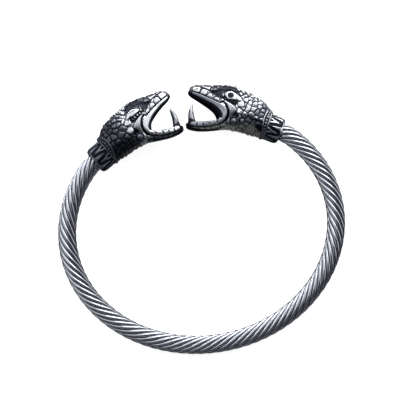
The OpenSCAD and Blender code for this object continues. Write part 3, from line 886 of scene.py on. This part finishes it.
def carve_lips(relief, side):
    """The flat lips, with two fine lines along the right upper one, and the dark round them: the
    mouth's edge black with patina and painted shadow, and painted shade on the snout's tip.
    """
    lip = relief.line(smooth_line(LIP_FACE[:, :3], 3))
    relief.stamp(lip - 0.1, 0.0, tone=1.0 if side == LEFT else 0.58)
    relief.groove(LIP_SEAM, 0.25)
    if side == RIGHT:
        x, y, wide = smooth_line(LIP_FACE[:9, :3]).T
        for share in (-0.35, 0.35):
            fine = np.stack([x, y + share * wide, wide + (0.05 - wide)], -1)
            relief.stamp(relief.line(fine), -0.06, tone=0.2)
    # The mouth's edge is painted black: its palate's patina and the shadow inside the mouth
    relief.blot(MOUTH_EDGE, 0.0, soft=0.2)
    relief.blot(SNOUT_SHADE, 0.35, soft=0.5)


def carve_jaw(relief, side):
    """The seamed lower jaw, and the right throat and neck."""
    share = within(relief.area(LOWER_JAW), 0.2)
    relief.cover = np.maximum(relief.cover, share)
    relief.lay(share, 0.4 if side == LEFT else 0.7)
    for groove in JAW_SEAMS + JAW_CUTS:
        relief.groove(groove + (0, 0, 0.03), 0.36)
    if side == RIGHT:
        relief.blot(JAW_SHADE, 0.55)
        relief.stamp(relief.area(THROAT_PATCH), 0.0, edge=0.4, tone=0.5)
        relief.stamp(relief.area(NECK_BLOT), -0.25, edge=0.4, tone=0.02)
        relief.stamp(relief.line(NECK_FOLD), 0.08, edge=0.2, tone=0.45)
        for crease in NECK_CREASES:
            relief.groove(crease, 0.2)


def flank_relief(casting, side):
    relief = Relief(casting.x, casting.y)
    relief.tone = relief.tone * np.interp(relief.x, NECK_SHINE_X, NECK_SHINE[side])
    carve_brow(relief)
    for carve in (carve_eye, carve_cheek, carve_lips, carve_jaw):
        carve(relief, side)
    return relief


def scale_seeds(side):
    """Middles of the scales, in staggered rows round the neck and crown, and how each leans."""
    dice = np.random.default_rng(7 if side == LEFT else 12)
    seeds = []
    for row, x in enumerate(np.arange(4.3, 20.4, 1.42)):
        top, belly, level, wide, square = section(SKULL, station(x))
        for turn in np.arange(-98 + 9 * (row % 2), 100, 18):
            # The snout has scales on its top only
            if x > 15.5 and turn < 40:
                continue
            t = math.radians(turn + dice.uniform(-5.5, 5.5))
            up, out = (np.sign(s) * abs(s) ** (2 / square) for s in (math.sin(t), math.cos(t)))
            y = CROWN * (level + (top - level if t >= 0 else level - belly) * up)
            seeds.append((x + dice.uniform(-0.4, 0.4), y, CHEEK * wide * out))
    seeds = np.array(seeds)
    leans = dice.normal(0, 0.19, seeds.shape)
    near = seeds[:, 2] < 2.5
    other_half = (1, 1, -1)
    return (np.concatenate([seeds, seeds[near] * other_half]),
            np.concatenate([leans, leans[near] * other_half]))


def in_scales(points, seeds, leans):
    """How far each point is from its scale's border, and its rise by the scale's lean."""
    border, rise = np.empty((2, len(points)), np.float32)
    size = (seeds ** 2).sum(1)
    for part in np.array_split(np.arange(len(points)), max(1, len(points) // 30000)):
        gap = (points[part] ** 2).sum(1)[:, None] + size - 2 * points[part] @ seeds.T
        first, second = np.argpartition(gap, 1, axis=1)[:, :2].T
        rows = np.arange(len(part))
        a, b = gap[rows, first], gap[rows, second]
        apart = np.linalg.norm(seeds[first] - seeds[second], axis=1)
        border[part] = np.abs(b - a) / (2 * apart)
        rise[part] = ((points[part] - seeds[first]) * leans[first]).sum(1)
    return border, rise


def scale_relief(casting, side):
    """Heights of the small scales near the skull's surface."""
    x, y, _ = casting.whole()
    u, crown = station(x), past(y / CROWN, 0.35, 0.5)
    force = column(SKULL, u, 6) * (1 - crown) + column(SKULL, u, 7) * crown
    force = force * np.ones_like(casting.near)
    todo = (np.abs(casting.near) < 0.75) & (force > 0.02)
    i, j, k = np.nonzero(todo)
    places = np.stack([casting.x[i], casting.y[j], casting.z[k]], -1).astype(float)
    border, rise = in_scales(places, *scale_seeds(side))
    # Each scale is a leaning plate, which swells a little to its middle
    plate = past(border, 0.06, 0.18) * (0.34 + np.clip(rise, -0.17, 0.17)) + eased(border / 0.8) * 0.1
    height = np.zeros_like(casting.near)
    height[todo] = (plate - 0.32) * force[todo]
    return height


def facing_flank(casting):
    """How far each place faces out of the flank, or up on the crest and snout."""
    out, up = (np.gradient(casting.near, CELL, axis=axis) for axis in (2, 1))
    x, y, _ = casting.whole()
    top = np.maximum(past(x, 18.2, 1.0), past(y, 4.3, 0.6) * past(x, 9.5, 0.8))
    return past(np.maximum(out, up * top), 0.2, 0.35)


def fang_rows():
    """Rows of the fang's roll: it bows forward and runs to a point."""
    share = np.linspace(0, 1, FANG_ROWS)
    x, y, z = along(FANG_ROOT[0]), FANG_ROOT[1] * CROWN, FANG_ROOT[2] * CHEEK
    return np.stack([
        x + FANG_LEN * (share * math.cos(FANG_LEAN) + FANG_BOW * np.sin(np.pi * share)),
        y + FANG_LEN * share * math.sin(FANG_LEAN),
        np.full(FANG_ROWS, z),
        FANG_R * (1 - FANG_TAPER * share ** 1.6),
    ], -1)


def nostril_rows():
    """Rows of a short roll that runs into the skull's flank."""
    x, y = along(NOSTRIL[0]), NOSTRIL[1] * CROWN
    top, _, level, wide, square = section(SKULL, station(x))
    share = (NOSTRIL[1] - level) / (top - level)
    z = CHEEK * wide * (1 - share ** square) ** (1 / square)
    return np.array([(x, y, z + 0.4, 0.3), (x - 0.3, y, z - 0.5, 0.25)])


def head_casting(side):
    """Distances to one half of a head, and its relief with its tone, polish with painted shade and
    highlights.
    """
    casting = Casting()
    small = scale_relief(casting, side)
    casting.near = melted(casting.near, casting.loft(JAW, 0.5), 0.5)
    relief = flank_relief(casting, side)
    casting.near -= small * (1 - relief.cover[:, :, None] * facing_flank(casting))
    casting.near = carved(casting.near, casting.loft(MOUTH, 0.5), 0.2)
    casting.add_roll(smooth_line(roll_rows(LIP) - (0, 0, 0.4, 0)), 0.12)
    casting.add_band(smooth_line(LIP_FACE, 3), 1.3)
    casting.add_roll(smooth_line(roll_rows(BROW) * (1, 1, 1, 0.8)), 0.5)
    casting.near -= (relief.height[:, :, None] * facing_flank(casting)).astype(np.float32)
    casting.add_roll(fang_rows(), 0.8)
    casting.add_roll(nostril_rows(), 0.1, carved)
    # The socket that takes the cable's end
    cut, (x, y, z) = casting.window((0, -3, 0), (SOCKET_END + 0.5, 3, 3))
    bore = np.maximum(np.sqrt(y * y + z * z) - BORE_R, x - SOCKET_END)
    casting.near[cut] = carved(casting.near[cut], bore, 0.08)
    return casting, relief


# ---------------- from cells to a mesh

def slices(axis, part):
    """A part of one axis of a block, and all of the others."""
    return tuple(part if a == axis else slice(None) for a in range(3))


def surface_nets(near, low):
    """Points and quads of the surface where the distance crosses nought."""
    inside = near < 0
    shape = tuple(n - 1 for n in near.shape)
    place = np.zeros(shape + (3,), np.float32)
    count = np.zeros(shape, np.float32)
    crossings = []
    for axis in range(3):
        here, there = slices(axis, slice(0, -1)), slices(axis, slice(1, None))
        a, b = near[here], near[there]
        cross = inside[here] != inside[there]
        share = np.where(cross, a / np.where(cross, a - b, 1), 0).astype(np.float32)
        crossings.append((cross, inside[here]))
        others = [o for o in range(3) if o != axis]
        for step in product((0, 1), (0, 1)):
            part = [slice(None)] * 3
            for o, s in zip(others, step):
                part[o] = slice(s, near.shape[o] - 1 + s)
            hit = cross[tuple(part)]
            count += hit
            place[..., axis] += share[tuple(part)]
            for o, s in zip(others, step):
                if s:
                    place[..., o] += hit
    used = count > 0
    number = np.full(shape, -1, np.int64)
    number[used] = np.arange(used.sum())
    cells = np.argwhere(used)
    points = low + CELL * (cells + place[used] / count[used][:, None])
    quads = []
    for axis, (cross, from_inside) in enumerate(crossings):
        p, q = (axis + 1) % 3, (axis + 2) % 3
        at = np.argwhere(cross)
        at = at[(at[:, p] > 0) & (at[:, q] > 0) & (at[:, p] < near.shape[p] - 1)
                & (at[:, q] < near.shape[q] - 1)]
        flip = ~from_inside[tuple(at.T)]
        corners = []
        for dp, dq in ((-1, -1), (0, -1), (0, 0), (-1, 0)):
            cell = at.copy()
            cell[:, p] += dp
            cell[:, q] += dq
            corners.append(number[tuple(cell.T)])
        quad = np.stack(corners, -1)
        quad[flip] = quad[flip][:, ::-1]
        quads.append(quad)
    return points, np.concatenate(quads)


def evened(points, quads):
    """Points moved towards their neighbours and back a little, so that no step shows."""
    pairs = np.concatenate([quads[:, [c, (c + 1) % 4]] for c in range(4)])
    ends = np.concatenate([pairs, pairs[:, ::-1]])
    count = np.bincount(ends[:, 0], minlength=len(points))[:, None]
    for share in (0.5, -0.52) * 2:
        total = np.stack([np.bincount(ends[:, 0], points[ends[:, 1], c], len(points))
                          for c in range(3)], -1)
        points = points + share * (total / count - points)
    return points


def sampled(block, spots):
    """Values of a block at places between its cells."""
    low = np.clip(np.floor(spots).astype(int), 0, np.array(block.shape) - 2)
    part = np.clip(spots - low, 0, 1)
    total = 0.0
    for corner in product((0, 1), repeat=block.ndim):
        share = np.prod(np.where(corner, part, 1 - part), axis=1)
        total = total + share * block[tuple((low + corner).T)]
    return total


def drawn_on(near, spots):
    """Places, counted in cells, moved straight onto the surface, by half a cell at most."""
    value = sampled(near, spots) / CELL
    slope = np.stack([sampled(g, spots) for g in np.gradient(near, CELL)], -1)
    step = -value / np.maximum((slope ** 2).sum(1), 0.1)
    return spots + np.clip(step, -0.5, 0.5)[:, None] * slope


def softened(block, reach):
    """Mean over boxes of 2 * reach + 1 cells, taken twice."""
    for axis in (0, 1, 2, 0, 1, 2):
        wide = [(reach + 1, reach) if a == axis else (0, 0) for a in range(3)]
        total = np.cumsum(np.pad(block, wide, mode="edge"), axis=axis, dtype=np.float32)
        box = 2 * reach + 1
        block = (total[slices(axis, slice(box, None))] - total[slices(axis, slice(0, -box))]) / box
    return block

# Height under which a head gets a diffuse grey painted in place of the floor's reflection, at these x,
# and how much of it
UNDERSIDE_X = (4, 8, 12, 15, 19, 23)
UNDERSIDE = {LEFT: (-2.9, -3.0, -4.0, -5.8, -7.3, -8.3), RIGHT: (-1.9, -1.3, -3.4, -4.6, -6.6, -7.7)}
FLOOR_SHEEN_SHARE = {LEFT: 0.5, RIGHT: 0.75}


def throat_shade(side, x, y):
    """Painted shade on the throat: how much darker the lower neck is painted than the rest."""
    if side == LEFT:
        return 1 - 0.6 * past(y, 0.3, -1.3) * past(x, 12.2, -1.0)
    return 1 - 0.5 * past(y, 0.6, -0.8) * past(x, 11.8, -0.8) * past(y, -4.5, 0.5)


def head_polish_and_painted_light(near, spots, points, relief, side):
    """How polished each point is, brightest where it stands proud, with its painted shade and
    highlights, and how much of its underside is painted grey in place of the floor's reflection.
    """
    # The share of metal close by and further round is low where a point stands proud
    metal = np.clip(0.5 - near / CELL, 0, 1)
    close, wide = (sampled(softened(metal, max(least, round(reach / CELL))), spots)
                   for least, reach in ((1, 0.3), (2, 1.0)))
    proud = past(close, 0.68, -0.16) * past(wide, 0.78, -0.2)
    x, y, z = points.T
    # Inside the mouth the tone drops nearly to black, partly the mouth's own blackening and partly
    # painted shadow; the fangs there are painted a little darker, as shade
    inside_mouth = past(np.abs(z), 3.0, -0.5) * past(y, 1.3, -0.5) * past(x, 14, 1.5)
    fang = past(x, 21.2, 0.4) * past(y, -6.2, 0.4) * past(y, -0.9, -0.4)
    tone = sampled(relief.tone, spots[:, :2]) * throat_shade(side, x, y)
    tone = tone * (1 - inside_mouth * (1 - fang) * 0.9) * (1 - 0.35 * inside_mouth * fang)
    # Painted reflection of the floor: proud places low on the head get a diffuse grey, less metallic
    # finish in place of the pale floor's reflection, more on the right
    under = past(y, np.interp(x, UNDERSIDE_X, UNDERSIDE[side]), -0.7)
    floor_sheen = under * eased(proud / 0.6) * past(tone, 0.03, 0.07) * FLOOR_SHEEN_SHARE[side]
    return np.clip(proud * tone, 0, 1), floor_sheen * (1 - inside_mouth)


def fitted(points, side):
    """The head as photographed: the left snout is shorter, and the right head stands further
    forward past its root, with its upper jaw lower."""
    x, y, z = points.T
    if side == LEFT:
        return np.stack([x - 0.3 * past(x, 14, 9), y, z], -1)
    return np.stack([x + FORWARD[RIGHT] * past(x, 3.5, 0.6),
                     y - 0.4 * past(x, 15, 7) * past(y, -4.2, 1.6), z], -1)


def head(side, name):
    casting, relief = head_casting(side)
    near = np.concatenate([casting.near[:, :, ::-1], casting.near], axis=2)
    low = np.array([casting.x[0], casting.y[0], -casting.z[-1]])
    points, quads = surface_nets(near, low)
    spots = drawn_on(near, (evened(points, quads) - low) / CELL)
    points = low + CELL * spots
    polish_and_painted_light, floor_sheen = head_polish_and_painted_light(near, spots, points, relief, side)
    if side == RIGHT:
        quads = quads[:, ::-1]
    points = laid_down(on_end(fitted(points, side), side))
    piece = make_piece(name + "_casting", points, quads.tolist(), HEAD_STEEL,
                       {"polish_and_painted_light": polish_and_painted_light, "floor_sheen": floor_sheen})
    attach(piece, "root")
    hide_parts(name)


# ---------------- studio

# The line of sight's tilts and the picture's turn in degrees, and the rest in millimetres
TILT_X, TILT_Y, TURN = 4.5, 4.5, 9.5
CAMERA_WAY, PICTURE_W = 340.0, 105.0
AIM_RIGHT, AIM_UP = -0.7, 7.13
# Soft lights: name, place and size in metres, and watts
LIGHTS = (
    ("window_left", (-0.36, 0.50, 0.27), (0.6, 0.75), 0.5),
    ("window_right", (0.36, 0.50, 0.27), (0.6, 0.75), 2.7),
    ("window_low", (0.0, 0.50, 0.10), (1.3, 0.15), 2.1),
    ("lamp", (0.0, 0.27, 0.60), (1.2, 0.42), 1.25),
    ("side_left", (-0.55, 0.0, 0.20), (0.5, 0.3), 0.27),
    ("side_right", (0.55, 0.0, 0.20), (0.5, 0.3), 0.42),
    ("strip", (0.0, -0.50, 0.12), (1.2, 0.05), 0.13),
)
LIGHT_AIM = Vector((0, 0, 0.004))
ROOM = (0.03, 0.032, 0.036, 1)
FLOOR_EDGE = 1.5


def camera_axes():
    """Directions to the camera, to the picture's right and to its top."""
    to_camera = Vector((-math.tan(math.radians(TILT_X)), -math.tan(math.radians(TILT_Y)), 1))
    to_camera.normalize()
    level = Vector((0, 1, 0)).cross(to_camera).normalized()
    rise = to_camera.cross(level)
    turn = math.radians(TURN)
    right = level * math.cos(turn) - rise * math.sin(turn)
    up = level * math.sin(turn) + rise * math.cos(turn)
    return to_camera, right, up


def stand_camera():
    to_camera, right, up = camera_axes()
    middle = Vector((0, -MIDDLE_Y, -TABLE_Z))
    place = middle + to_camera * CAMERA_WAY
    target = middle + right * AIM_RIGHT + up * AIM_UP
    back = (place - target).normalized()
    side = up.cross(back).normalized()
    data = bpy.data.cameras.new("camera")
    data.angle = 2 * math.atan(PICTURE_W / 2 / CAMERA_WAY)
    data.clip_start, data.clip_end = 0.01, 5
    camera = bpy.data.objects.new("camera", data)
    camera.matrix_world = Matrix.Translation(place * MM) @ Matrix(
        (side, back.cross(side), back)).transposed().to_4x4()
    bpy.context.scene.collection.objects.link(camera)
    bpy.context.scene.camera = camera


def soft_light(name, place, size, power):
    data = bpy.data.lights.new(name, "AREA")
    data.shape = "RECTANGLE"
    data.size, data.size_y = size
    data.energy = power
    light = bpy.data.objects.new(name, data)
    light.location = place
    light.rotation_euler = (LIGHT_AIM - Vector(place)).to_track_quat("-Z", "Y").to_euler()
    bpy.context.scene.collection.objects.link(light)


def floor_finish():
    finish = Finish("pale_floor")
    cloud = finish.noise(60)
    finish.surface(
        Base_Color=finish.blend(cloud, (0.93, 0.93, 0.93, 1), (0.95, 0.95, 0.95, 1)),
        Roughness=0.9,
        Specular_IOR_Level=0.0,
        Emission_Color=(1, 1, 1, 1),
        Emission_Strength=0.88,
    )
    return finish.material


def pale_floor():
    """A wide floor that the steel doesn't reflect, because it reflects the dim room."""
    corners = FLOOR_EDGE * np.array([(-1, -1, 0), (1, -1, 0), (1, 1, 0), (-1, 1, 0)])
    floor = make_piece("floor", corners, [[0, 1, 2, 3]], floor_finish())
    floor.visible_glossy = False


def studio():
    pale_floor()
    world = bpy.data.worlds.new("studio")
    world.use_nodes = True
    background = world.node_tree.nodes["Background"].inputs
    background[0].default_value, background[1].default_value = ROOM, 1.0
    bpy.context.scene.world = world
    for light in LIGHTS:
        soft_light(*light)
    bpy.context.scene.view_settings.view_transform = "Standard"


COLLAR_STEEL = cast_steel("collar_cast_steel")
HEAD_STEEL = cast_steel("head_cast_steel")

stand_camera()
studio()
cable_wires()
for side, place, shine in ((LEFT, "left", 0.42), (RIGHT, "right", 0.95)):
    collar(side, "collar_" + place, shine)
    head(side, "head_" + place)
